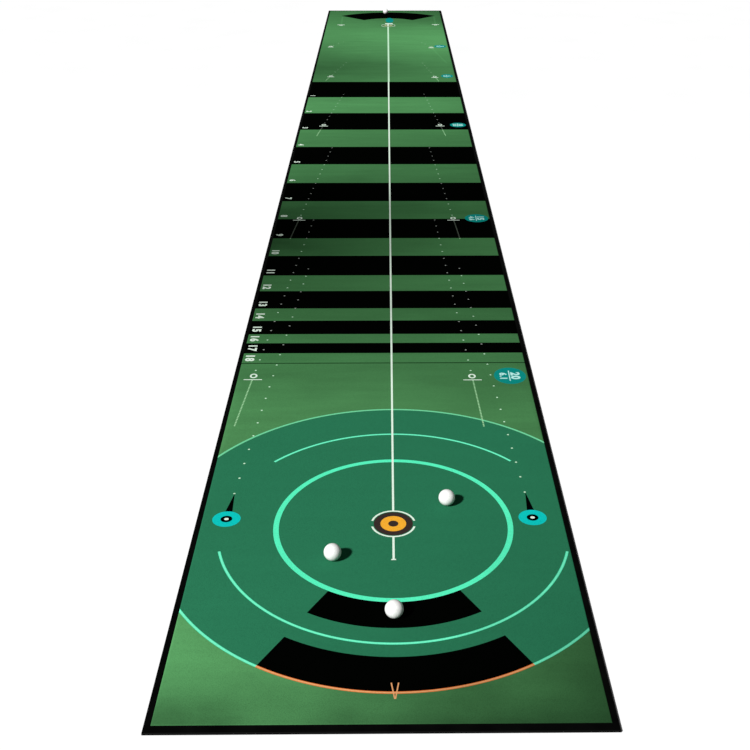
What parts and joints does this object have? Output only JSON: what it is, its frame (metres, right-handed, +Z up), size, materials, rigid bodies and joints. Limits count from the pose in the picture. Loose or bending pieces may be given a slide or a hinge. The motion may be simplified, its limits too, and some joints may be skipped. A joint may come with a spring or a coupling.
{
  "type": "practice putting mat",
  "caption": "Long flat putting practice mat with printed green pile, distance bands, aiming circles and a black rubber border, with golf balls that roll along it.",
  "frame": {"origin": "middle of the mat's underside, on the floor", "axes": "+Y along the mat from the putting end to the far end, +X to the right of someone putting, +Z up"},
  "size_m": [0.95, 8.06, 0.0487],
  "materials": {
    "rubber": "matt black nitrile rubber",
    "tufting_fabric": "grey non-woven polyester",
    "pile": "short cut nylon pile, printed",
    "ball_cover": "white dimpled ionomer with a clear coat",
    "ball_core": "solid polybutadiene rubber"
  },
  "bodies": {
    "mat": {"rubber_backing": "rubber", "tufting_fabric": "tufting_fabric", "printed_pile": "pile", "border_near": "rubber", "border_right": "rubber", "border_far": "rubber", "border_left": "rubber"},
    "near_ball": {"near_ball_core": "ball_core"},
    "near_ball_shell": {"near_ball_cover_lower": "ball_cover", "near_ball_cover_upper": "ball_cover"},
    "right_ball": {"right_ball_core": "ball_core"},
    "right_ball_shell": {"right_ball_cover_lower": "ball_cover", "right_ball_cover_upper": "ball_cover"},
    "left_ball": {"left_ball_core": "ball_core"},
    "left_ball_shell": {"left_ball_cover_lower": "ball_cover", "left_ball_cover_upper": "ball_cover"},
    "far_ball": {"far_ball_core": "ball_core"},
    "far_ball_shell": {"far_ball_cover_lower": "ball_cover", "far_ball_cover_upper": "ball_cover"}
  },
  "joints": [
    {"name": "near_ball_travel", "type": "slide", "parent": "mat", "child": "near_ball", "axis": [0, 1, 0], "range_m": [-0.28, 7.041]},
    {"name": "near_ball_roll", "type": "hinge", "parent": "near_ball", "child": "near_ball_shell", "pos_m": [0.027, -3.6875, 0.02738], "axis": [1, 0, 0], "continuous": true},
    {"name": "right_ball_travel", "type": "slide", "parent": "mat", "child": "right_ball", "axis": [0, 1, 0], "range_m": [-0.7, 6.6025]},
    {"name": "right_ball_roll", "type": "hinge", "parent": "right_ball", "child": "right_ball_shell", "pos_m": [0.1665, -3.249, 0.02738], "axis": [1, 0, 0], "continuous": true},
    {"name": "left_ball_travel", "type": "slide", "parent": "mat", "child": "left_ball", "axis": [0, 1, 0], "range_m": [-0.47, 6.8315]},
    {"name": "left_ball_roll", "type": "hinge", "parent": "left_ball", "child": "left_ball_shell", "pos_m": [-0.1205, -3.478, 0.02738], "axis": [1, 0, 0], "continuous": true},
    {"name": "far_ball_travel", "type": "slide", "parent": "mat", "child": "far_ball", "axis": [0, 1, 0], "range_m": [-7.1915, 0.11]},
    {"name": "far_ball_roll", "type": "hinge", "parent": "far_ball", "child": "far_ball_shell", "pos_m": [0.007, 3.858, 0.02738], "axis": [1, 0, 0], "continuous": true}
  ],
  "couplings": [
    {"joint": "near_ball_roll", "follows": "near_ball_travel", "rad_per_m": -46.871},
    {"joint": "right_ball_roll", "follows": "right_ball_travel", "rad_per_m": -46.871},
    {"joint": "left_ball_roll", "follows": "left_ball_travel", "rad_per_m": -46.871},
    {"joint": "far_ball_roll", "follows": "far_ball_travel", "rad_per_m": -46.871}
  ]
}
